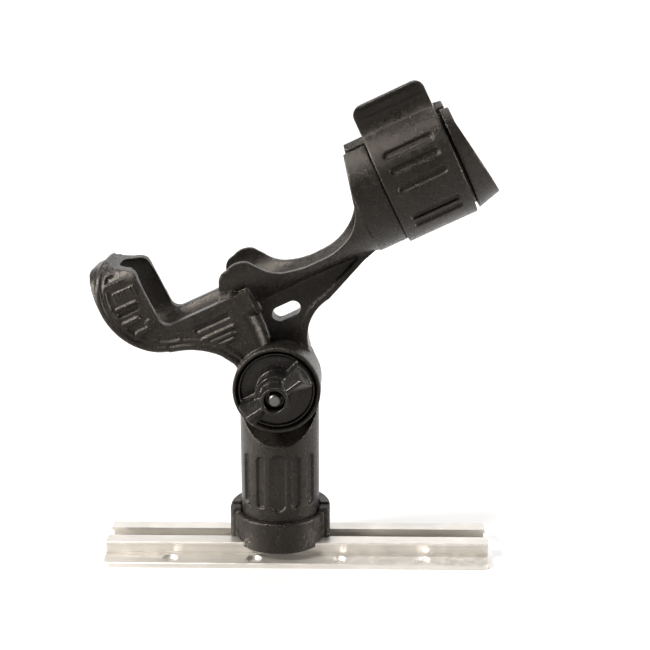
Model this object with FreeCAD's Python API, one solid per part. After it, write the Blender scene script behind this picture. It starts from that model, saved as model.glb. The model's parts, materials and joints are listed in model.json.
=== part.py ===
import FreeCAD, Part
import math
import os
from FreeCAD import Vector, Rotation, Placement

# Fishing rod holder on a slotted aluminium track. Millimetres, +Z up, +X along the track.
# Origin: centre of the track's bottom face. The wing knob faces -Y.

# ---- track extrusion ----
TRACK_L = 203.2
TRACK_W = 50.8
TRACK_H = 9.5
FLANGE_T = 2.8
HEAD_W = 27.6
SLOT_W = 9.8
LIP_T = 1.7
LIP_OVER = 0.8
CHANNEL_W = 20.0
CHANNEL_FLOOR = 2.6
CORNER_R = 4.5
HOLE_PITCH = 44.45
HOLE_ROW = 38.1
HOLE_R = 2.3
SINK_R = 4.2
SINK_D = 1.6

# ---- collar mount, slides along the track ----
MOUNT_X = -9.0
MOUNT_GAP = 0.1
COLLAR_R = 24.0
COLLAR_REAR_R = 26.6
COLLAR_BORE_R = 21.1
COLLAR_FRONT_Z = 24.0
COLLAR_REAR_Z = 27.0
FLOOR_Z = 14.4
GROOVE_R = 22.5
GROOVE_H = 3.4
LUG_Z = 26.2
EAR_X = 23.9
EAR_SCREW_Z = 19.6
SKIRT_Z = 7.4
SKIRT_Y = 14.3
BASE_SCREW_X = 11.0

# ---- post, swivels in the collar ----
POST_R = 20.8
POST_WALL = 4.2
POST_BORE_TOP = 58.0
POST_FLANGE_R = 22.2
THRUST_T = 0.8
HUB_Z = 98.0
FLUTE_Z0 = 31.0
FLUTE_Z1 = 59.0
FLUTE_W = 4.7
FLUTE_W_MID = 8.2
FLUTE_STEP = 26.5
FLUTE_DEPTH = 1.3
EAR_FACE_Y = 0.6
EAR_BACK_Y = 15.0
SCOOP_R0 = 22.6
SCOOP_R1 = 33.6
ORING_Z = 21.0
ORING_R = 19.75
ORING_WIRE = 1.2
TEETH = 24
TOOTH_R0 = 11.4
TOOTH_R1 = 18.2
TOOTH_H = 0.55
TOOTH_HALF = 0.9

# ---- cradle, tilts on the post; drawn in its own plane, hub centre at zero ----
TILT = 25.0
HUB_R = 22.3
HUB_FRONT = -28.3
HUB_BACK = -0.8
RECESS_R = 20.3
RECESS_D = 6.0
WEB_FRONT = -8.0
WEB_BACK = 5.0
BODY_HALF = 23.6
BODY_ROUND = 6.0
SLOT_V = 31.1
CUP_HALF = 24.0
CUP_WALL = 3.6
CUP_LOW = 37.4
CUP_HIGH = 92.0
CUP_C = (-29.4, 71.3)
CUP_R = 33.9
CUP_FLOOR = 44.1
RIM_BANDS = ((0.0, 6.2, 0.3), (0.3, 3.4, 0.9), (0.9, 2.9, 1.6), (4.4, 5.7, 1.1))
CUP_CORNER = 15.0
CUP_CORNER_LOW = 7.0
MARK_H = 1.0
TROUGH_V = 62.0
TROUGH_R = 21.5
TROUGH_WALL = 3.5
RING_V = 71.0
RING_R = 33.0
SHOULDER_R = 32.4
RING_BORE_R = 27.0
SLEEVE_U0 = 76.0
GROOVE_U0 = 91.0
GROOVE_U1 = 130.0
SLEEVE_U1 = 134.5
NECK_R = 29.8
GAP_HALF_ANGLE = 47.5
RELIEF_R = 22.6

# ---- locking ring, turns on the sleeve ----
STRAP_R0 = 30.1
STRAP_R1 = 34.3
STRAP_U0 = 91.3
STRAP_U1 = 128.3
STRAP_HALF_GAP = 34.0
TAB_TOP = 111.0
TAB_LEAN = 7.0
TAB_T = 3.2
TAB_RIM = 1.9

# ---- clamp bolt and wing knob ----
BOLT_R = 3.1
BOLT_HOLE_R = 3.4
BUSH_R = 5.0
FIT = 0.05
BOLT_END = -45.4
DISC_R = 19.3
DISC_FACE = -27.4
DISC_RIM = 1.1
DISC_SUNK = 1.2
COLLAR_FACE = -37.6
KNOB_COLLAR_R = 10.2
RIDGE_FACE = -44.4
RIDGE_HALF = 0.8
BOSS_FACE = -46.0
BOSS_ROOT_R = 9.2
BOSS_TIP_R = 6.8
INSERT_AF = 9.4
INSERT_END = -37.5
WING_ANGLE = 36.0
WING_ROOT_FILLET = 2.2

X = Vector(1, 0, 0)
Y = Vector(0, 1, 0)
Z = Vector(0, 0, 1)


def box(x0, x1, y0, y1, z0, z1):
    return Part.makeBox(x1 - x0, y1 - y0, z1 - z0, Vector(x0, y0, z0))


def rod(radius, start, end):
    start = Vector(*start)
    line = Vector(*end) - start
    return Part.makeCylinder(radius, line.Length, start, line)


def cone(r0, r1, start, end):
    start = Vector(*start)
    line = Vector(*end) - start
    return Part.makeCone(r0, r1, line.Length, start, line)


def tube(outer, inner, start, end):
    return rod(outer, start, end).cut(rod(inner, start, end))


def hex_prism(across, start, end):
    start = Vector(*start)
    line = Vector(*end) - start
    turn = Rotation(Z, line)
    radius = across / math.sqrt(3.0)
    corners = []
    for k in range(7):
        angle = math.radians(60.0 * k)
        flat = Vector(radius * math.cos(angle), radius * math.sin(angle), 0)
        corners.append(start + turn.multVec(flat))
    return Part.Face(Part.makePolygon(corners)).extrude(line)


def side_face(path, y):
    """A face in the plane Y = y. Each step of the path is a point, or (via, end) for an arc."""
    spots = [Vector(path[0][0], y, path[0][1])]
    edges = []
    for step in path[1:]:
        if isinstance(step[0], tuple):
            via = Vector(step[0][0], y, step[0][1])
            end = Vector(step[1][0], y, step[1][1])
            edges.append(Part.Arc(spots[-1], via, end).toShape())
        else:
            end = Vector(step[0], y, step[1])
            edges.append(Part.LineSegment(spots[-1], end).toShape())
        spots.append(end)
    if spots[-1].distanceToPoint(spots[0]) > 1e-6:
        edges.append(Part.LineSegment(spots[-1], spots[0]).toShape())
    return Part.Face(Part.Wire(edges))


def side_slab(path, y0, y1):
    return side_face(path, y0).extrude(Vector(0, y1 - y0, 0))


def group(solids):
    return Part.makeCompound(solids)


def joined(first, *others):
    shape = first
    for other in others:
        shape = shape.fuse(other)
    return shape


def at_mount(shape):
    shape.translate(Vector(MOUNT_X, 0, 0))
    return shape


def at_hub(shape):
    shape.translate(Vector(MOUNT_X, 0, HUB_Z))
    return shape


def at_cradle(shape):
    shape.Placement = Placement(Vector(MOUNT_X, 0, HUB_Z), Rotation(Y, -TILT))
    return shape


# ---------------------------------------------------------------- track
def track_section():
    half = TRACK_W / 2
    head = HEAD_W / 2
    slot = SLOT_W / 2
    inner = CHANNEL_W / 2
    wall = head - LIP_OVER
    lip_z = TRACK_H - LIP_T
    right = [
        (half, 0.0),
        (half, FLANGE_T - 0.5),
        (half - 0.5, FLANGE_T),
        (wall + 0.7, FLANGE_T),
        (wall + 0.7, FLANGE_T + 0.8),
        (wall, FLANGE_T + 0.8),
        (wall, lip_z + 0.2),
        (head, lip_z + 0.5),
        (head, TRACK_H - 0.3),
        (head - 0.3, TRACK_H),
        (slot, TRACK_H),
        (slot, lip_z),
        (inner, lip_z),
        (inner, CHANNEL_FLOOR),
    ]
    left = [(-y, z) for y, z in reversed(right)]
    corners = [Vector(-TRACK_L / 2, y, z) for y, z in right + left]
    return Part.Face(Part.makePolygon(corners + corners[:1]))


def hole_places():
    places = []
    for k in range(4):
        for side in (-1, 1):
            places.append(((k - 1.5) * HOLE_PITCH, side * HOLE_ROW / 2))
    return places


def make_track():
    body = track_section().extrude(Vector(TRACK_L, 0, 0))
    blank = box(-TRACK_L / 2, TRACK_L / 2, -TRACK_W / 2, TRACK_W / 2, -1, TRACK_H + 1)
    upright = [e for e in blank.Edges if abs(e.tangentAt(e.FirstParameter).z) > 0.9]
    body = body.common(blank.makeFillet(CORNER_R, upright))
    for x, y in hole_places():
        body = body.cut(rod(HOLE_R, (x, y, -1), (x, y, FLANGE_T + 1)))
        body = body.cut(cone(HOLE_R, SINK_R, (x, y, FLANGE_T - SINK_D), (x, y, FLANGE_T)))
    return body


# ---------------------------------------------------------------- mount
def make_slide_nut():
    plate = box(-21, 21, -CHANNEL_W / 2 + 0.4, CHANNEL_W / 2 - 0.4, 4.4, TRACK_H - LIP_T - 0.1)
    key = box(-21, 21, -SLOT_W / 2 + 0.2, SLOT_W / 2 - 0.2, 4.4, TRACK_H - 0.2)
    body = joined(plate, key)
    for side in (-1, 1):
        x = side * BASE_SCREW_X
        body = body.cut(rod(2.5, (x, 0, 4), (x, 0, TRACK_H)))
    return at_mount(body)


def make_base_screws():
    screws = []
    for side in (-1, 1):
        x = side * BASE_SCREW_X
        shank = rod(2.45, (x, 0, 4.6), (x, 0, 11.2))
        head = rod(4.2, (x, 0, 11.2), (x, 0, 13.6))
        drive = hex_prism(3.0, (x, 0, 12.2), (x, 0, 14.0))
        screws.append(joined(shank, head).cut(drive))
    return at_mount(group(screws))


def make_base_washers():
    rings = []
    for side in (-1, 1):
        x = side * BASE_SCREW_X
        rings.append(tube(4.6, 2.6, (x, 0, 10.7), (x, 0, 11.2)))
    return at_mount(group(rings))


def collar_cavity():
    bore = rod(COLLAR_BORE_R, (0, 0, FLOOR_Z), (0, 0, COLLAR_REAR_Z + 1))
    groove = rod(GROOVE_R, (0, 0, FLOOR_Z), (0, 0, FLOOR_Z + GROOVE_H))
    return bore.fuse(groove)


def half_space(front):
    if front:
        return box(-40, 40, -40, -0.05, 0, 40)
    return box(-40, 40, 0.05, 40, 0, 40)


def ear_holes(radius, y0, y1):
    left = rod(radius, (-EAR_X, y0, EAR_SCREW_Z), (-EAR_X, y1, EAR_SCREW_Z))
    right = rod(radius, (EAR_X, y0, EAR_SCREW_Z), (EAR_X, y1, EAR_SCREW_Z))
    return left.fuse(right)


def skirt(radius, y0, y1):
    """Lower lip of the collar, which hangs beside the track's raised head."""
    ring = tube(radius, radius - 3.1, (0, 0, SKIRT_Z), (0, 0, TRACK_H + 1))
    return ring.common(box(-40, 40, y0, y1, 0, 40))


def make_mount_base():
    low = TRACK_H + MOUNT_GAP
    floor = rod(COLLAR_R - 3.2, (0, 0, low), (0, 0, FLOOR_Z))
    wall = rod(COLLAR_REAR_R, (0, 0, low), (0, 0, COLLAR_REAR_Z)).common(half_space(False))
    top = [e for e in wall.Edges if e.BoundBox.ZMin > COLLAR_REAR_Z - 0.1 and e.BoundBox.XLength > 20]
    wall = wall.makeFillet(1.2, [e for e in top if e.BoundBox.YLength > 5])
    body = joined(floor, wall, skirt(COLLAR_REAR_R, SKIRT_Y, 40)).cut(collar_cavity())
    for side in (-1, 1):
        x = side * BASE_SCREW_X
        body = body.cut(rod(2.6, (x, 0, low - 1), (x, 0, FLOOR_Z)))
        body = body.cut(rod(4.8, (x, 0, 10.7), (x, 0, FLOOR_Z + 1)))
    body = body.cut(ear_holes(1.6, -1, 20))
    body = body.cut(ear_holes(2.9, 7.0, 30))
    return at_mount(body)


def make_mount_cap():
    low = TRACK_H + MOUNT_GAP
    wall = rod(COLLAR_R, (0, 0, low), (0, 0, COLLAR_FRONT_Z))
    top = [e for e in wall.Edges if e.BoundBox.ZMin > COLLAR_FRONT_Z - 0.1]
    wall = wall.makeFillet(1.0, top)
    reach = COLLAR_REAR_R
    lug = box(-reach, reach, -6.5, 1, low, LUG_Z)
    upright = [e for e in lug.Edges if abs(e.tangentAt(e.FirstParameter).z) > 0.9 and e.BoundBox.YMax < 0]
    lug = lug.makeFillet(2.4, upright)
    body = joined(wall, lug).common(half_space(True)).cut(collar_cavity())
    body = body.cut(rod(COLLAR_R - 3.1, (0, 0, low - 1), (0, 0, FLOOR_Z)))
    body = joined(body, skirt(COLLAR_R, -40, -SKIRT_Y))
    body = body.cut(ear_holes(2.1, -5.6, 1))
    return at_mount(body)


def make_collar_screws():
    screws = []
    for side in (-1, 1):
        x = side * EAR_X
        shank = rod(1.4, (x, -5.0, EAR_SCREW_Z), (x, 7.6, EAR_SCREW_Z))
        head = rod(2.6, (x, 7.6, EAR_SCREW_Z), (x, 9.8, EAR_SCREW_Z))
        drive = hex_prism(2.0, (x, 8.6, EAR_SCREW_Z), (x, 10.5, EAR_SCREW_Z))
        screws.append(joined(shank, head).cut(drive))
    return at_mount(group(screws))


def make_collar_inserts():
    rings = []
    for side in (-1, 1):
        x = side * EAR_X
        rings.append(tube(2.1, 1.45, (x, -5.6, EAR_SCREW_Z), (x, -0.6, EAR_SCREW_Z)))
    return at_mount(group(rings))


def make_collar_washers():
    rings = []
    for side in (-1, 1):
        x = side * EAR_X
        rings.append(tube(2.7, 1.5, (x, 7.0, EAR_SCREW_Z), (x, 7.6, EAR_SCREW_Z)))
    return at_mount(group(rings))


# ---------------------------------------------------------------- post
def make_thrust_washer():
    return at_mount(tube(21.8, 16.8, (0, 0, FLOOR_Z), (0, 0, FLOOR_Z + THRUST_T)))


def flute_tool(angle, width, z0, z1):
    radius = width / 2
    deep = -(POST_R - FLUTE_DEPTH)
    slab = box(-radius, radius, -POST_R - 3, deep, z0 + radius, z1 - radius)
    low = rod(radius, (0, -POST_R - 3, z0 + radius), (0, deep, z0 + radius))
    high = rod(radius, (0, -POST_R - 3, z1 - radius), (0, deep, z1 - radius))
    tool = joined(slab, low, high)
    tool.rotate(Vector(0, 0, 0), Z, angle)
    return tool


def cut_flutes(body):
    for back in (0.0, 180.0):
        for k in (-2, -1, 1, 2):
            tool = flute_tool(back + k * FLUTE_STEP, FLUTE_W, FLUTE_Z0, FLUTE_Z1)
            body = body.cut(tool)
    body = body.cut(flute_tool(0.0, FLUTE_W_MID, FLUTE_Z0 - 1.5, FLUTE_Z1 + 1.5))
    return body


def post_scoop():
    """Room in front of the ear for the cradle's hub: a flared bowl round the tilt axis."""
    bowl = cone(SCOOP_R0, SCOOP_R1, (0, EAR_FACE_Y, HUB_Z), (0, -POST_R - 1, HUB_Z))
    above = box(-40, 40, -40, EAR_FACE_Y, HUB_Z, HUB_Z + 60)
    return bowl.fuse(above)


def serrations(y_root, y_tip):
    """Radial teeth round the tilt axis: straight ridges of triangular section."""
    teeth = []
    for k in range(TEETH):
        foot = [
            Vector(TOOTH_R0, y_root, -TOOTH_HALF),
            Vector(TOOTH_R0, y_root, TOOTH_HALF),
            Vector(TOOTH_R0, y_tip, 0),
        ]
        ridge = Part.Face(Part.makePolygon(foot + foot[:1])).extrude(Vector(TOOTH_R1 - TOOTH_R0, 0, 0))
        ridge.rotate(Vector(0, 0, 0), Y, k * 360.0 / TEETH)
        teeth.append(ridge)
    return teeth


def make_post():
    start = FLOOR_Z + THRUST_T
    column = rod(POST_R, (0, 0, start), (0, 0, HUB_Z + POST_R))
    knuckle = rod(POST_R, (0, -POST_R - 1, HUB_Z), (0, POST_R + 1, HUB_Z))
    below = box(-30, 30, -30, 30, 0, HUB_Z)
    column = column.common(knuckle.fuse(below))
    flange = rod(POST_FLANGE_R, (0, 0, start), (0, 0, FLOOR_Z + GROOVE_H - 0.4))
    body = joined(column, flange)
    body = body.cut(rod(POST_R - POST_WALL, (0, 0, start - 1), (0, 0, POST_BORE_TOP)))
    body = body.cut(post_scoop())
    body = body.cut(box(-30, 30, EAR_BACK_Y, 30, HUB_Z - 14, HUB_Z + 30))
    body = cut_flutes(body)
    pocket = rod(9.2, (0, EAR_FACE_Y - 1, HUB_Z), (0, EAR_FACE_Y + 5, HUB_Z))
    body = body.cut(pocket)
    body = body.cut(rod(BOLT_HOLE_R, (0, 0, HUB_Z), (0, 40, HUB_Z)))
    square = box(-3.4, 3.4, EAR_BACK_Y - 4, EAR_BACK_Y + 1, HUB_Z - 3.4, HUB_Z + 3.4)
    body = body.cut(square)
    body = body.cut(Part.makeTorus(ORING_R, ORING_WIRE, Vector(0, 0, ORING_Z), Z))
    for tooth in serrations(EAR_FACE_Y + 0.1, EAR_FACE_Y - TOOTH_H):
        tooth.translate(Vector(0, 0, HUB_Z))
        body = body.fuse(tooth)
    return at_mount(body)


def make_swivel_o_ring():
    return at_mount(Part.makeTorus(ORING_R, ORING_WIRE, Vector(0, 0, ORING_Z), Z))


def make_tilt_bolt():
    head = rod(8.0, (0, EAR_BACK_Y, 0), (0, EAR_BACK_Y + 3.4, 0))
    crown = [e for e in head.Edges if e.BoundBox.YMin > EAR_BACK_Y + 3]
    head = head.makeFillet(2.6, crown)
    neck = box(-3.2, 3.2, EAR_BACK_Y - 3.6, EAR_BACK_Y, -3.2, 3.2)
    shank = rod(BOLT_R, (0, BOLT_END, 0), (0, EAR_BACK_Y, 0))
    tip = [e for e in shank.Edges if e.BoundBox.YMax < BOLT_END + 0.1]
    shank = shank.makeChamfer(0.6, tip)
    return at_hub(joined(head, neck, shank))


def make_hub_spring():
    """Pushes the cradle off the post's teeth when the knob is backed off."""
    wire_r = 0.6
    coil_r = 6.6
    y0 = HUB_BACK - 4.0
    length = EAR_FACE_Y + 5 - y0
    helix = Part.makeHelix((length - 2 * wire_r) / 3.5, length - 2 * wire_r, coil_r)
    section = Part.Wire(Part.makeCircle(wire_r, Vector(coil_r, 0, 0), Y))
    coil = Part.Wire(helix.Edges).makePipeShell([section], True, True)
    coil.rotate(Vector(0, 0, 0), X, -90)
    coil.translate(Vector(0, y0 + wire_r, 0))
    return at_hub(coil)


# ---------------------------------------------------------------- cradle
def rounded_block(u0, u1, half, low, high, radius):
    block = box(u0, u1, -half, half, low, high)
    along = [e for e in block.Edges if abs(e.tangentAt(e.FirstParameter).x) > 0.9]
    return block.makeFillet(radius, along)


def cup_profile():
    """Side outline of the rear cup: a round nose that rises to a narrow strap over the butt."""
    cu, cv = CUP_C
    start = math.radians(258.5)
    end = math.radians(177.6)
    middle = (start + end) / 2

    def on_nose(angle):
        return (cu + CUP_R * math.cos(angle), cv + CUP_R * math.sin(angle))

    return [
        on_nose(start),
        (on_nose(middle), on_nose(end)),
        ((-62.8, 81.5), (-61.8, 89.5)),
        ((-60.5, 92.8), (-57.0, 94.0)),
        (-52.0, 94.0),
        (-50.6, 91.6),
        ((-46.6, 88.0), (-42.4, 86.0)),
        ((-39.6, 83.8), (-38.8, 80.0)),
        (-38.4, 57.5),
        ((-36.9, 53.5), (-33.5, 52.0)),
        (8.0, 52.0),
        (8.0, CUP_LOW),
        (-36.0, CUP_LOW),
    ]


def lower_edge(inset):
    """Lower edge of the wide body from the nose to the hub, moved inwards by inset."""
    edge = (
        (-41.0, 39.4, 0.0, 1.0),
        (-36.2, 38.1, 0.20, 0.98),
        (-26.9, 34.1, 0.50, 0.87),
        (-18.2, 27.0, 0.72, 0.69),
        (-14.2, 20.5, 0.88, 0.47),
        (-13.0, 15.0, 0.95, 0.30),
    )
    return [(u + du * inset, v + dv * inset) for u, v, du, dv in edge]


def body_profile(inset=0.0):
    """Side outline of the wide body under the cup."""
    edge = lower_edge(inset)
    return [
        edge[0],
        edge[1],
        (edge[2], edge[3]),
        edge[4],
        edge[5],
        (0.0, 8.0),
        ((6.4, 31.0), (2.0, 55.0)),
        (-8.0, 58.0),
        (-8.0, 52.0),
        (-41.0, 52.0),
    ]


def wide_body():
    """The wide body with its front end and top rounded off towards the web and the trough."""
    slab = side_slab(body_profile(), -BODY_HALF, BODY_HALF)
    ends = []
    for edge in slab.Edges:
        limits = edge.BoundBox
        if limits.YLength < 0.1 and limits.XMax > 1.0 and limits.XMin > -9.0:
            ends.append(edge)
    return slab.makeFillet(BODY_ROUND, ends)


def arm_profile():
    """Side outline of the thin web from the hub to the front sleeve."""
    return [
        (-16.9, 13.5),
        (0.0, 0.0),
        (21.6, 2.0),
        ((24.8, 17.1), (42.0, 28.0)),
        (66.3, 38.6),
        (84.0, 44.0),
        (84.0, 60.0),
        (40.0, 46.0),
        (-16.9, 46.0),
    ]


def top_cut_profile():
    """Everything above the side walls of the trough, from the cup to the front sleeve."""
    return [
        (-8.0, 52.0),
        (-6.6, 53.6),
        (-3.2, 61.2),
        ((-1.2, 63.6), (2.6, 64.7)),
        ((8.6, 66.1), (14.2, 64.2)),
        (18.2, 59.0),
        ((22.8, 54.0), (30.0, 50.7)),
        ((38.0, 49.1), (46.0, 49.0)),
        ((57.0, 50.4), (66.0, 55.0)),
        ((71.0, 60.5), (74.5, 70.0)),
        (79.5, 92.0),
        (79.5, 130.0),
        (-8.0, 130.0),
    ]


def disc_wire(u, v, radius):
    return Part.Wire(Part.makeCircle(radius, Vector(u, 0, v), X))


def trough_solid(shrink, u_start):
    """Half-pipe that swells into the sleeve, before its top is cut away."""
    stations = (
        (u_start, TROUGH_V, TROUGH_R),
        (42.0, TROUGH_V, TROUGH_R),
        (60.0, 64.5, 24.0),
        (72.0, 68.8, 29.0),
        (80.0, RING_V, SHOULDER_R - 0.1),
    )
    wires = []
    for u, v, radius in stations:
        wires.append(disc_wire(u, v, radius - shrink))
    return Part.makeLoft(wires, True, True)


def sleeve_solid():
    """Rear shoulder, neck for the strap, and a front flange that tapers and is cut at a slant."""
    rear = rod(SHOULDER_R, (SLEEVE_U0, 0, RING_V), (GROOVE_U0, 0, RING_V))
    neck = rod(NECK_R, (GROOVE_U0, 0, RING_V), (GROOVE_U1, 0, RING_V))
    tip = SLEEVE_U1 + 8.5
    front = cone(RING_R, RING_R - 3.6, (GROOVE_U1, 0, RING_V), (tip, 0, RING_V))
    slope = [
        (tip, RING_V - RING_R - 1),
        (tip + 20, 30),
        (tip + 20, 130),
        (SLEEVE_U1, 130),
        (SLEEVE_U1, RING_V + 14),
    ]
    front = front.cut(side_slab(slope, -50, 50))
    return joined(rear, neck, front)


def sleeve_gap():
    """The open top of the sleeve, a wedge from the ring axis upwards."""
    reach = 60.0
    spread = reach * math.tan(math.radians(GAP_HALF_ANGLE))
    corners = [
        Vector(74.0, 0, RING_V),
        Vector(74.0, spread, RING_V + reach),
        Vector(74.0, -spread, RING_V + reach),
    ]
    face = Part.Face(Part.makePolygon(corners + corners[:1]))
    return face.extrude(Vector(90, 0, 0))


def cup_block(extra):
    """The cup's rounded cross-section along its whole length, grown outwards by extra."""
    half = CUP_HALF + extra
    low = CUP_LOW - extra
    high = CUP_HIGH + extra
    upper = rounded_block(-75, 8, half, low - 40, high, CUP_CORNER + extra)
    lower = rounded_block(-75, 8, half, low, high + 40, CUP_CORNER_LOW + extra)
    return upper.common(lower)


def cup_rim():
    """Bead with stepped shoulders, and a thinner one inside it, round the nose of the cup and its strap."""
    cu, cv = CUP_C
    outline = side_slab(cup_profile(), -40, 40).cut(box(cu - 3, 20, -40, 40, 20, 120))
    bands = []
    for start, end, raised in RIM_BANDS:
        band = cup_block(raised).common(outline)
        band = band.cut(rod(CUP_R - end, (cu, -40, cv), (cu, 40, cv)))
        if start > 0:
            band = band.common(rod(CUP_R - start, (cu, -40, cv), (cu, 40, cv)))
        bands.append(band)
    return joined(*bands)


def body_rim():
    """The same two beads along the lower edge of the wide body, from the nose to the hub."""
    bands = []
    for start, end, raised in RIM_BANDS:
        half = BODY_HALF + raised
        band = side_slab(body_profile(start), -half, half)
        bands.append(band.cut(side_slab(body_profile(end), -40, 40)))
    return joined(*bands)


def cup_cavity():
    return rounded_block(-80, 9, CUP_HALF - CUP_WALL, CUP_FLOOR, CUP_HIGH - CUP_WALL, 17.4)


def arm_rib():
    """Edge flange along the front of the arm."""
    outer = side_slab(arm_profile(), WEB_FRONT - 1.6, WEB_BACK + 1.6)
    inner = side_slab([
        (-30.0, 10.0), (18.6, 1.0), ((22.0, 18.8), (40.8, 30.8)), (66.0, 42.0), (66.0, 80.0), (-30.0, 80.0),
    ], -40, 40)
    return outer.cut(inner)


def obround(u0, u1, v, radius, y0, y1):
    slab = box(u0 + radius, u1 - radius, y0, y1, v - radius, v + radius)
    left = rod(radius, (u0 + radius, y0, v), (u0 + radius, y1, v))
    right = rod(radius, (u1 - radius, y0, v), (u1 - radius, y1, v))
    return joined(slab, left, right)


def body_core():
    """Moulded core pocket in the back of the wide body, with two ribs left standing in it."""
    outline = [(-29.5, 39.5), (-17.0, 32.5), (-8.0, 27.0), (1.5, 27.0), (1.5, 38.5), (-30.0, 41.0)]
    pocket = side_slab(outline, -6.0, BODY_HALF + 1)
    for u in (-21.0, -9.0):
        pocket = pocket.cut(box(u, u + 2.4, -10, 30, 0, 60))
    return pocket


def mark(u0, u1, v, radius, wall, height):
    """An obround boss, or a pocket where the height is negative, on both side walls."""
    tools = []
    for side in (-1, 1):
        near = side * (wall - 1.5) if height > 0 else side * (wall + height)
        far = side * (wall + height) if height > 0 else side * (wall + 4)
        tools.append(obround(u0, u1, v, radius, min(near, far), max(near, far)))
    return tools


def wall_pockets():
    """A shallow window in the nose and a plain narrow panel under the side wall's edge."""
    return mark(-56.0, -44.0, 67.4, 1.9, CUP_HALF, -1.2) + mark(-25.3, -5.0, 44.4, 1.6, BODY_HALF, -1.0)


def wall_bosses():
    """Grip bars on the nose, a round dot under them and three thin ribs above the hub."""
    bosses = []
    for u0, u1, v, radius, wall in (
        (-54.0, -49.4, 86.6, 1.1, 20.4),
        (-55.6, -44.4, 82.0, 1.4, 23.1),
        (-55.9, -43.3, 69.9, 0.8, CUP_HALF),
        (-56.0, -46.0, 61.7, 1.2, CUP_HALF),
        (-51.8, -43.9, 54.8, 1.2, CUP_HALF),
        (-44.9, -40.9, 57.4, 1.8, CUP_HALF),
        (-23.2, -4.3, 38.4, 0.8, BODY_HALF),
        (-21.0, -6.0, 35.3, 0.8, BODY_HALF),
        (-18.5, -7.4, 32.6, 0.8, BODY_HALF),
    ):
        bosses += mark(u0, u1, v, radius, wall, MARK_H)
    return bosses


def grip_patch():
    """Fine upright ridges on the nose, a thumb grip on either side."""
    ridges = []
    for k in range(7):
        u = -53.4 + 1.8 * k
        for side in (-1, 1):
            near = side * (CUP_HALF - 1.0)
            far = side * (CUP_HALF + 0.5)
            ridges.append(box(u, u + 0.9, min(near, far), max(near, far), 72.6, 78.0))
    return ridges


def make_cradle():
    hub = rod(HUB_R, (0, HUB_FRONT, 0), (0, HUB_BACK, 0))
    rim_edge = [e for e in hub.Edges if e.BoundBox.YMax < HUB_FRONT + 0.1]
    hub = hub.makeFillet(0.8, rim_edge)
    web = side_slab(arm_profile(), WEB_FRONT, WEB_BACK)
    cup = cup_block(0.0).common(side_slab(cup_profile(), -40, 40))
    trough = trough_solid(0.0, -8.0)
    relief = rod(RELIEF_R, (0, HUB_BACK, 0), (0, 60, 0))
    body = joined(wide_body(), cup, cup_rim(), body_rim())
    body = joined(body, *wall_bosses(), *grip_patch())
    body = body.cut(cup_cavity())
    body = joined(body, trough, sleeve_solid(), web, arm_rib())
    body = body.cut(trough_solid(TROUGH_WALL, -9.0))
    body = body.cut(rod(RING_BORE_R, (78, 0, RING_V), (160, 0, RING_V)))
    body = body.cut(side_slab(top_cut_profile(), -50, 50))
    body = body.cut(sleeve_gap())
    body = body.cut(relief)
    body = joined(body, hub)
    body = body.cut(rod(RECESS_R, (0, HUB_FRONT - 1, 0), (0, HUB_FRONT + RECESS_D, 0)))
    body = body.cut(obround(11.7, 26.9, SLOT_V, 3.7, -40, 40))
    for tool in wall_pockets():
        body = body.cut(tool)
    body = body.cut(body_core())
    body = body.cut(rod(9.2, (0, HUB_BACK - 4, 0), (0, HUB_BACK + 1, 0)))
    body = body.cut(rod(BUSH_R, (0, -40, 0), (0, 1, 0)))
    for tooth in serrations(HUB_BACK - 0.1, HUB_BACK + TOOTH_H):
        body = body.fuse(tooth)
    return at_cradle(body)


def make_hub_bush():
    floor = HUB_FRONT + RECESS_D
    return at_hub(tube(BUSH_R, BOLT_R + FIT, (0, floor + 0.1, 0), (0, HUB_BACK - 4.1, 0)))


# ---------------------------------------------------------------- locking ring
def strap_gap():
    reach = 60.0
    spread = reach * math.tan(math.radians(STRAP_HALF_GAP))
    corners = [
        Vector(STRAP_U0 - 5, 0, RING_V),
        Vector(STRAP_U0 - 5, spread, RING_V + reach),
        Vector(STRAP_U0 - 5, -spread, RING_V + reach),
    ]
    face = Part.Face(Part.makePolygon(corners + corners[:1]))
    return face.extrude(Vector(50, 0, 0))


def tab_root():
    """Where the tab leaves the strap: the strap's near end, on its outside."""
    angle = math.radians(STRAP_HALF_GAP)
    return -STRAP_R1 * math.sin(angle), RING_V + STRAP_R1 * math.cos(angle)


def round_top(shape, u0, u1, top, radius):
    """Rounds the two upper corners of an upright leaf."""
    frame = box(u0, u1, -60, 0, top - 60, top)
    upper = [e for e in frame.Edges if e.BoundBox.ZMin > top - 1]
    across = [e for e in upper if abs(e.tangentAt(e.FirstParameter).y) > 0.9]
    return shape.common(frame.makeFillet(radius, across))


def leaf(corners, u0, u1):
    outline = [Vector(u0, y, v) for y, v in corners]
    return Part.Face(Part.makePolygon(outline + outline[:1])).extrude(Vector(u1 - u0, 0, 0))


def swept_face(y, v):
    """Outer face of the tab's root: a hollow curve from the strap up to the leaf."""
    low = math.radians(STRAP_HALF_GAP + 18.0)
    start = Vector(STRAP_U0, -(STRAP_R1 - 0.3) * math.sin(low), RING_V + (STRAP_R1 - 0.3) * math.cos(low))
    via = Vector(STRAP_U0, y - 3.1, v + 1.4)
    end = Vector(STRAP_U0, y - TAB_LEAN, TAB_TOP - 0.8)
    return Part.Arc(start, via, end).toShape(), start, end


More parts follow.
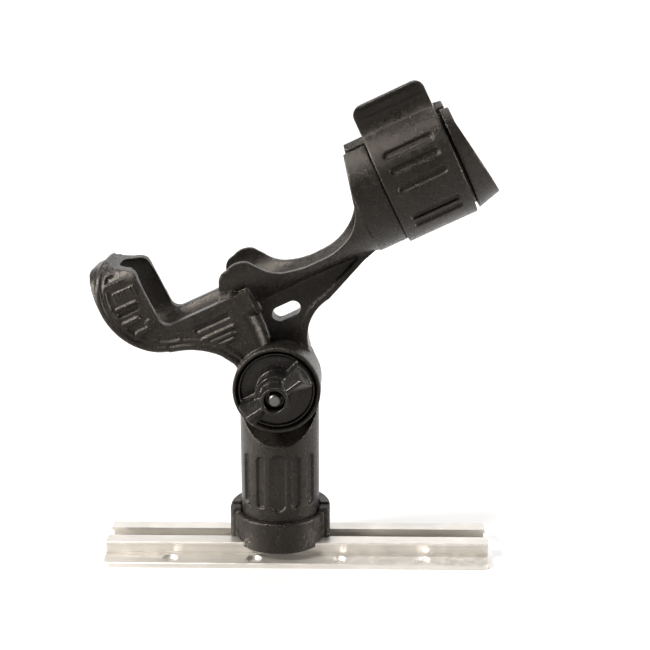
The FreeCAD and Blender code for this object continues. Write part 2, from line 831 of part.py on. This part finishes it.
def thumb_tab():
    """Leaf that rises from the strap's near end and leans outwards; its face is sunk inside a rim."""
    y, v = tab_root()
    hollow, start, end = swept_face(y, v)
    behind = [
        end,
        Vector(STRAP_U0, y - TAB_LEAN + TAB_T, TAB_TOP),
        Vector(STRAP_U0, y + 2.0, v + 2.0),
        Vector(STRAP_U0, y + 2.8, v - 1.6),
        start,
    ]
    outline = Part.Wire([hollow] + Part.makePolygon(behind).Edges)
    body = Part.Face(outline).extrude(Vector(STRAP_U1 - STRAP_U0, 0, 0))
    body = body.cut(rod(STRAP_R0, (STRAP_U0 - 1, 0, RING_V), (STRAP_U1 + 1, 0, RING_V)))
    body = round_top(body, STRAP_U0, STRAP_U1, TAB_TOP, 5.5)
    slope = (TAB_LEAN - 2.4) / (TAB_TOP - 0.8 - v - 2.4)
    low = v + 4.4
    high = TAB_TOP - 0.8 - TAB_RIM
    sunk = leaf([
        (y - 1.5 - slope * (low - v - 2.4), low),
        (y - 1.5 - slope * (high - v - 2.4), high),
        (y - 12.0, high),
        (y - 12.0, low),
    ], STRAP_U0 + TAB_RIM, STRAP_U1 - TAB_RIM)
    return body.cut(round_top(sunk, STRAP_U0 + TAB_RIM, STRAP_U1 - TAB_RIM, high, 4.0))


def strap_tool(angle, u0, u1, radius, depth):
    """Obround cutter that reaches the given depth into the strap, at an angle round its axis."""
    tool = obround(u0, u1, 0.0, radius, -STRAP_R1 - 3, -STRAP_R1 + depth)
    tool.rotate(Vector(0, 0, 0), X, -angle)
    tool.translate(Vector(0, 0, RING_V))
    return tool


def make_locking_ring():
    strap = tube(STRAP_R1, STRAP_R0, (STRAP_U0, 0, RING_V), (STRAP_U1, 0, RING_V))
    strap = strap.cut(strap_gap())
    body = joined(strap, thumb_tab())
    for angle in (22.6, 9.2, -6.4, -34.6, -44.4):
        body = body.cut(strap_tool(angle, 97.0, 122.4, 1.8, 1.3))
    body = body.cut(strap_tool(-82.0, 98.6, 122.8, 2.0, 6.0))
    return at_cradle(body)


# ---------------------------------------------------------------- knob
def make_knob_washer():
    floor = HUB_FRONT + RECESS_D
    return at_hub(tube(9.0, 3.3, (0, floor - 1.2, 0), (0, floor, 0)))


def make_knob_insert():
    body = hex_prism(INSERT_AF, (0, INSERT_END, 0), (0, HUB_FRONT + RECESS_D - 1.4, 0))
    return at_hub(body.cut(rod(BOLT_R + FIT, (0, -50, 0), (0, -20, 0))))


def wing_foot(angle):
    """Fan-shaped foot of one wing, from the disc up to the knob's collar face."""
    path = [(4.0, -3.6), (18.0, -6.2), ((19.1, 0.0), (18.0, 6.2)), (4.0, 3.6)]
    foot = side_slab(path, COLLAR_FACE, DISC_FACE + DISC_SUNK + 0.5)
    foot.rotate(Vector(0, 0, 0), Y, -angle)
    return foot


def wing_roof(angle):
    """Roof of one wing, which rises from the foot's outline to a narrow ridge."""
    low = [(4.0, -3.6), (18.0, -6.2), (18.0, 6.2), (4.0, 3.6)]
    high = [(4.0, -RIDGE_HALF), (16.6, -RIDGE_HALF), (16.6, RIDGE_HALF), (4.0, RIDGE_HALF)]
    wires = []
    for corners, y in ((low, COLLAR_FACE), (high, RIDGE_FACE)):
        spots = [Vector(x, y, z) for x, z in corners]
        wires.append(Part.makePolygon(spots + spots[:1]))
    roof = Part.makeLoft(wires, True, True)
    roof.rotate(Vector(0, 0, 0), Y, -angle)
    return roof


def knob_body():
    """The two feet and the collar between them, with rounded inside corners."""
    collar = rod(KNOB_COLLAR_R, (0, DISC_FACE + DISC_SUNK + 0.5, 0), (0, COLLAR_FACE, 0))
    body = joined(collar, wing_foot(WING_ANGLE), wing_foot(WING_ANGLE + 180.0))
    corners = []
    for edge in body.Edges:
        start = edge.Vertexes[0].Point
        radius = math.hypot(start.x, start.z)
        if edge.BoundBox.YLength > 5 and abs(radius - KNOB_COLLAR_R) < 0.05 and edge.BoundBox.XLength < 0.01:
            corners.append(edge)
    return body.makeFillet(WING_ROOT_FILLET, corners)


def make_wing_knob():
    floor = HUB_FRONT + RECESS_D - 1.2
    disc = rod(DISC_R, (0, DISC_FACE, 0), (0, floor - 0.1, 0))
    disc = disc.cut(rod(DISC_R - DISC_RIM, (0, DISC_FACE - 1, 0), (0, DISC_FACE + DISC_SUNK, 0)))
    boss = cone(BOSS_ROOT_R, BOSS_TIP_R, (0, DISC_FACE + DISC_SUNK + 0.5, 0), (0, BOSS_FACE, 0))
    body = joined(disc, knob_body(), boss, wing_roof(WING_ANGLE), wing_roof(WING_ANGLE + 180.0))
    body = body.cut(cone(5.4, 5.0, (0, BOSS_FACE, 0), (0, BOSS_FACE + 5.6, 0)))
    body = body.cut(hex_prism(INSERT_AF, (0, INSERT_END, 0), (0, -20.0, 0)))
    body = body.cut(rod(BOLT_HOLE_R, (0, -50, 0), (0, -20, 0)))
    return at_hub(body)


PARTS = {
    "track": make_track,
    "slide_nut": make_slide_nut,
    "base_screws": make_base_screws,
    "base_washers": make_base_washers,
    "mount_base": make_mount_base,
    "mount_cap": make_mount_cap,
    "collar_screws": make_collar_screws,
    "collar_washers": make_collar_washers,
    "collar_inserts": make_collar_inserts,
    "thrust_washer": make_thrust_washer,
    "swivel_o_ring": make_swivel_o_ring,
    "post": make_post,
    "tilt_bolt": make_tilt_bolt,
    "hub_spring": make_hub_spring,
    "cradle": make_cradle,
    "hub_bush": make_hub_bush,
    "locking_ring": make_locking_ring,
    "knob_washer": make_knob_washer,
    "knob_insert": make_knob_insert,
    "wing_knob": make_wing_knob,
}

os.makedirs("parts", exist_ok=True)
for name, make in PARTS.items():
    shape = make()
    print(name, shape.isValid(), len(shape.Solids), round(shape.Volume, 1))
    shape.exportStep("parts/" + name + ".step")
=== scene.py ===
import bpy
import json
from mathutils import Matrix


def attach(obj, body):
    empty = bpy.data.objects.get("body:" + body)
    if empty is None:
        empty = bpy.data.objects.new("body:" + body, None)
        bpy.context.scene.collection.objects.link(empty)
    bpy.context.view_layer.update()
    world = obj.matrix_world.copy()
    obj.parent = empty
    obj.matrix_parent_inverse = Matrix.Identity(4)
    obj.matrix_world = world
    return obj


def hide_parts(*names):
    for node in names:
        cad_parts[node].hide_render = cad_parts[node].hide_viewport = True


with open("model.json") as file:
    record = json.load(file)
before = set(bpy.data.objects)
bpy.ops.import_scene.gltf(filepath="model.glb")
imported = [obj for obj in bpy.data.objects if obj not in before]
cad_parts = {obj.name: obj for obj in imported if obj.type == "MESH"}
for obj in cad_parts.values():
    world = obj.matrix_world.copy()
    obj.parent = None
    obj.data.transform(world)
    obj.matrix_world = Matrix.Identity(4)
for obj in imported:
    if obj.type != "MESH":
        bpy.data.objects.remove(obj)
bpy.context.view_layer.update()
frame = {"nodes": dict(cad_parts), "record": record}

import json
import math
import bmesh
import bpy
from mathutils import Matrix, Vector

MM = 0.001

# Camera: straight at the knob side, a little from above. Angles are in degrees, the lens in mm.
TARGET = Vector((0.0149, 0.0, 0.1252))
AZIMUTH = 1.0
ELEVATION = 14.1
DISTANCE = 0.639
LENS = 68.3
SENSOR_WIDTH = 36.0

# The cradle's own plane: hub centre, and its tilt above the track. The knob's wings have their own turn.
HUB = Vector((-0.009, 0.0, 0.098))
CRADLE_TILT = math.radians(25.0)
WING_TURN = math.radians(36.0)

# Moulded skins: cell of the remesh, and how many times the skin is relaxed.
CELL = 0.5 * MM
KNOB_CELL = 0.6 * CELL
RELAX_ROUNDS = 3


# ---------------------------------------------------------------- node helpers
def new_material(name):
    mat = bpy.data.materials.new(name)
    mat.use_nodes = True
    nodes = mat.node_tree.nodes
    nodes.clear()
    out = nodes.new("ShaderNodeOutputMaterial")
    shader = nodes.new("ShaderNodeBsdfPrincipled")
    mat.node_tree.links.new(shader.outputs["BSDF"], out.inputs["Surface"])
    return mat, shader


class Tree:
    """Short calls for the nodes that materials share. Noise scales are per metre, bumps in metres."""

    def __init__(self, mat):
        self.tree = mat.node_tree
        self.coords = self.tree.nodes.new("ShaderNodeTexCoord").outputs["Object"]

    def link(self, a, b):
        self.tree.links.new(a, b)

    def mapped(self, scale):
        node = self.tree.nodes.new("ShaderNodeMapping")
        node.inputs["Scale"].default_value = scale
        self.link(self.coords, node.inputs["Vector"])
        return node.outputs["Vector"]

    def noise(self, scale, detail=3.0, rough=0.5, vector=None):
        """Cloudy grey texture, on the object's own coordinates unless others are given."""
        node = self.tree.nodes.new("ShaderNodeTexNoise")
        node.inputs["Scale"].default_value = scale
        node.inputs["Detail"].default_value = detail
        node.inputs["Roughness"].default_value = rough
        self.link(vector or self.coords, node.inputs["Vector"])
        return node.outputs["Fac"]

    def spread(self, value, low, high, start=0.3, end=0.7):
        """Stretches start..end of a texture to low..high."""
        node = self.tree.nodes.new("ShaderNodeMapRange")
        node.inputs["From Min"].default_value = start
        node.inputs["From Max"].default_value = end
        node.inputs["To Min"].default_value = low
        node.inputs["To Max"].default_value = high
        self.link(value, node.inputs["Value"])
        return node.outputs["Result"]

    def mix(self, factor, first, second):
        """Between two plain colours."""
        node = self.tree.nodes.new("ShaderNodeMix")
        node.data_type = "RGBA"
        self.link(factor, node.inputs["Factor"])
        node.inputs["A"].default_value = (*first, 1.0)
        node.inputs["B"].default_value = (*second, 1.0)
        return node.outputs["Result"]

    def blend(self, factor, first, second):
        """From a textured colour to a plain one."""
        node = self.tree.nodes.new("ShaderNodeMix")
        node.data_type = "RGBA"
        self.link(factor, node.inputs["Factor"])
        self.link(first, node.inputs["A"])
        node.inputs["B"].default_value = (*second, 1.0)
        return node.outputs["Result"]

    def bump(self, height, strength, distance, normal=None):
        node = self.tree.nodes.new("ShaderNodeBump")
        node.inputs["Strength"].default_value = strength
        node.inputs["Distance"].default_value = distance
        self.link(height, node.inputs["Height"])
        if normal:
            self.link(normal, node.inputs["Normal"])
        return node.outputs["Normal"]


# ---------------------------------------------------------------- materials
# Painted sparkle: a pale colour put into the nylon in small specks, standing in for glints of light.
PAINTED_SPARKLE = (0.07, 0.065, 0.059)
DIE_LINE = (0.68, 0.655, 0.615)


def nylon(name, dark, light, rough=(0.22, 0.36), grain=1900.0, depth=0.00020):
    """Moulded glass-filled nylon: near-black, with a pebbled skin, flow marks, and pale specks painted into
    the colour as sparkle glints.
    """
    mat, shader = new_material(name)
    t = Tree(mat)
    cloud = t.spread(t.noise(45.0, 4.0, 0.6), 0.0, 1.0)
    # Painted sparkle: a sparse mask of small pale specks that stand in for glints.
    sparkle_specks = t.spread(t.noise(2600.0, 1.0, 0.5), 0.0, 1.0, 0.66, 0.74)
    skin = t.mix(cloud, dark, light)
    t.link(t.blend(sparkle_specks, skin, PAINTED_SPARKLE), shader.inputs["Base Color"])
    t.link(t.spread(t.noise(210.0, 4.0, 0.6), rough[0], rough[1]), shader.inputs["Roughness"])
    flow = t.bump(t.noise(70.0, 2.0), 0.25, 0.0006)
    pebble = t.bump(t.noise(grain, 3.0, 0.6), 1.0, depth, flow)
    t.link(pebble, shader.inputs["Normal"])
    shader.inputs["Specular IOR Level"].default_value = 0.27
    shader.inputs["Specular Tint"].default_value = (1.0, 0.92, 0.85, 1.0)
    shader.inputs["IOR"].default_value = 1.4
    return mat


def aluminium(name):
    """Clear-anodised extrusion: die lines along the track, a soft satin grain and a few dull patches."""
    mat, shader = new_material(name)
    t = Tree(mat)
    lines = t.noise(1.0, 4.0, 0.6, t.mapped((5.0, 1500.0, 1500.0)))
    bright = t.spread(lines, 0.0, 0.5, 0.45, 0.8)
    patches = t.spread(t.noise(38.0, 3.0), 0.0, 1.0)
    base = t.mix(patches, (0.50, 0.48, 0.45), (0.60, 0.575, 0.54))
    t.link(t.blend(bright, base, DIE_LINE), shader.inputs["Base Color"])
    t.link(t.spread(t.noise(260.0, 3.0), 0.32, 0.44), shader.inputs["Roughness"])
    t.link(t.bump(lines, 0.25, 0.00008), shader.inputs["Normal"])
    shader.inputs["Metallic"].default_value = 0.9
    return mat


def metal(name, dark, light, rough):
    """Turned metal with a fine grain and a faintly uneven colour."""
    mat, shader = new_material(name)
    t = Tree(mat)
    turned = t.noise(900.0, 3.0)
    t.link(t.mix(t.spread(t.noise(120.0), 0.0, 1.0), dark, light), shader.inputs["Base Color"])
    t.link(t.spread(turned, rough[0], rough[1]), shader.inputs["Roughness"])
    t.link(t.bump(turned, 0.12, 0.00004), shader.inputs["Normal"])
    shader.inputs["Metallic"].default_value = 1.0
    return mat


def plain_polymer(name, dark, light, rough):
    """Smooth plastic or rubber with a slight mottle."""
    mat, shader = new_material(name)
    t = Tree(mat)
    t.link(t.mix(t.spread(t.noise(150.0), 0.0, 1.0), dark, light), shader.inputs["Base Color"])
    t.link(t.spread(t.noise(600.0), rough, rough + 0.12), shader.inputs["Roughness"])
    t.link(t.bump(t.noise(1400.0), 0.2, 0.00004), shader.inputs["Normal"])
    return mat


# Each finish goes from a dark to a light colour, with the roughness between two values.
MATERIALS = {
    "nylon": nylon("nylon", (0.0024, 0.0022, 0.0019), (0.0075, 0.0067, 0.0059)),
    "nylon_ring": nylon(
        "nylon_ring", (0.0028, 0.0025, 0.0022), (0.009, 0.008, 0.007), (0.21, 0.35), 1700.0),
    "nylon_knob": nylon(
        "nylon_knob", (0.0020, 0.0020, 0.0020), (0.0045, 0.0045, 0.0044), (0.14, 0.24), 1300.0, 0.00012),
    "track_aluminium": aluminium("track_aluminium"),
    "stainless": metal("stainless", (0.060, 0.058, 0.055), (0.10, 0.098, 0.093), (0.30, 0.44)),
    "brass": metal("brass", (0.34, 0.25, 0.12), (0.46, 0.36, 0.19), (0.34, 0.46)),
    "acetal": plain_polymer("acetal", (0.72, 0.71, 0.67), (0.84, 0.83, 0.79), 0.3),
    "rubber": plain_polymer("rubber", (0.012, 0.012, 0.012), (0.03, 0.03, 0.03), 0.55),
}
SLOTS = {part["node"]: part["material_slot"] for part in frame["record"]["subparts"]}
BODY_OF = {}
for body_name, members in frame["record"]["behaviour"]["bodies"].items():
    for member in members:
        BODY_OF[member] = body_name


def dress(node):
    """Gives a CAD node its finish."""
    thing = frame["nodes"][node]
    if not thing.material_slots:
        thing.data.materials.append(None)
    for slot in thing.material_slots:
        slot.material = MATERIALS[SLOTS[node]]


for node in frame["nodes"]:
    dress(node)


# ---------------------------------------------------------------- moulded pieces
STRAIGHT = Matrix.Identity(4)
TO_CRADLE = Matrix.Rotation(CRADLE_TILT, 4, "Y") @ Matrix.Translation(-HUB)
TO_WINGS = Matrix.Rotation(WING_TURN, 4, "Y") @ Matrix.Translation(-HUB)


def welded_copy(node, turn):
    """The node's mesh, turned square to the grid, with its faces joined at their edges."""
    data = frame["nodes"][node].data.copy()
    data.transform(turn)
    shape = bmesh.new()
    shape.from_mesh(data)
    bmesh.ops.remove_doubles(shape, verts=shape.verts, dist=1e-6)
    shape.to_mesh(data)
    shape.free()
    return data


def moulded(node, turn=STRAIGHT, cell=CELL):
    """The node's shape with the rounded edges of a moulding: remeshed on a fine grid and relaxed."""
    data = welded_copy(node, turn)
    piece = bpy.data.objects.new(node + "_moulded", data)
    bpy.context.scene.collection.objects.link(piece)
    grid = piece.modifiers.new("grid", "REMESH")
    grid.mode = "VOXEL"
    grid.voxel_size = cell
    relax = piece.modifiers.new("relax", "SMOOTH")
    relax.factor = 0.5
    relax.iterations = RELAX_ROUNDS
    graph = bpy.context.evaluated_depsgraph_get()
    final = bpy.data.meshes.new_from_object(piece.evaluated_get(graph))
    piece.modifiers.clear()
    piece.data = final
    final.transform(turn.inverted())
    final.shade_smooth()
    final.materials.clear()
    final.materials.append(MATERIALS[SLOTS[node]])
    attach(piece, BODY_OF[node])
    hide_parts(node)


moulded("cradle", TO_CRADLE)
moulded("locking_ring", TO_CRADLE)
moulded("post")
moulded("mount_base")
moulded("mount_cap")
moulded("wing_knob", TO_WINGS, KNOB_CELL)


# ---------------------------------------------------------------- stage
def make_floor():
    """Pale round floor whose edge curves up into a wall, so that no horizon shows."""
    middle, flat, bend, top = 0.3, 1.7, 0.8, 2.4
    steps, bend_steps = 96, 8
    profile = [(middle, 0.0), (flat, 0.0)]
    for k in range(1, bend_steps + 1):
        angle = math.radians(90.0 * k / bend_steps)
        profile.append((flat + bend * math.sin(angle), bend - bend * math.cos(angle)))
    profile.append((flat + bend, top))
    shape = bmesh.new()
    rings = []
    for radius, height in profile:
        ring = []
        for k in range(steps):
            turn = 2.0 * math.pi * k / steps
            ring.append(shape.verts.new((radius * math.cos(turn), radius * math.sin(turn), height)))
        rings.append(ring)
    shape.faces.new(rings[0])
    for low, high in zip(rings, rings[1:]):
        for k in range(steps):
            shape.faces.new((low[k], high[k], high[(k + 1) % steps], low[(k + 1) % steps]))
    data = bpy.data.meshes.new("floor")
    shape.normal_update()
    shape.to_mesh(data)
    shape.free()
    data.shade_smooth()
    floor = bpy.data.objects.new("floor", data)
    bpy.context.scene.collection.objects.link(floor)
    mat, shader = new_material("floor")
    t = Tree(mat)
    t.link(t.mix(t.noise(3.0), (0.36, 0.36, 0.36), (0.39, 0.39, 0.39)), shader.inputs["Base Color"])
    shader.inputs["Roughness"].default_value = 0.95
    shader.inputs["Specular IOR Level"].default_value = 0.1
    data.materials.append(mat)


WHITE = (1.0, 1.0, 1.0)
OBJECT_MIDDLE = (0.0, 0.0, 0.13)
WALL_FOOT = (0.0, 2.5, 0.5)


def area_light(name, place, aim, size, power, tint=WHITE):
    """A soft rectangular light: its size in metres, its power in watts."""
    data = bpy.data.lights.new(name, "AREA")
    data.shape = "RECTANGLE"
    data.size = size[0]
    data.size_y = size[1]
    data.energy = power
    data.color = tint
    lamp = bpy.data.objects.new(name, data)
    lamp.location = place
    lamp.rotation_euler = (Vector(aim) - Vector(place)).to_track_quat("-Z", "Y").to_euler()
    bpy.context.scene.collection.objects.link(lamp)


def make_lights():
    """A dim white room, one key light, a low strip on each side, and soft light on the top and the wall."""
    world = bpy.data.worlds.new("studio")
    bpy.context.scene.world = world
    world.use_nodes = True
    sky = world.node_tree.nodes["Background"]
    sky.inputs["Color"].default_value = (1.0, 1.0, 1.0, 1.0)
    sky.inputs["Strength"].default_value = 0.15
    area_light("key", (-0.85, -0.55, 0.90), OBJECT_MIDDLE, (0.26, 0.18), 46.0, (1.0, 0.96, 0.91))
    area_light("left", (-1.05, -0.25, 0.28), OBJECT_MIDDLE, (0.10, 0.30), 22.0, (1.0, 0.95, 0.90))
    area_light("right", (1.05, -0.15, 0.30), OBJECT_MIDDLE, (0.10, 0.32), 20.0, (1.0, 0.96, 0.92))
    area_light("top", (0.1, 0.35, 1.5), OBJECT_MIDDLE, (1.2, 0.5), 44.0)
    area_light("wall", (0.0, 0.9, 1.2), WALL_FOOT, (1.8, 0.8), 70.0)


def make_camera():
    data = bpy.data.cameras.new("view")
    data.lens = LENS
    data.sensor_width = SENSOR_WIDTH
    lens = bpy.data.objects.new("view", data)
    az = math.radians(AZIMUTH)
    el = math.radians(ELEVATION)
    back = Vector((math.sin(az) * math.cos(el), -math.cos(az) * math.cos(el), math.sin(el)))
    lens.location = TARGET + back * DISTANCE
    lens.rotation_euler = (-back).to_track_quat("-Z", "Y").to_euler()
    bpy.context.scene.collection.objects.link(lens)
    bpy.context.scene.camera = lens


bpy.context.scene.view_settings.view_transform = "Standard"
make_floor()
make_lights()
make_camera()
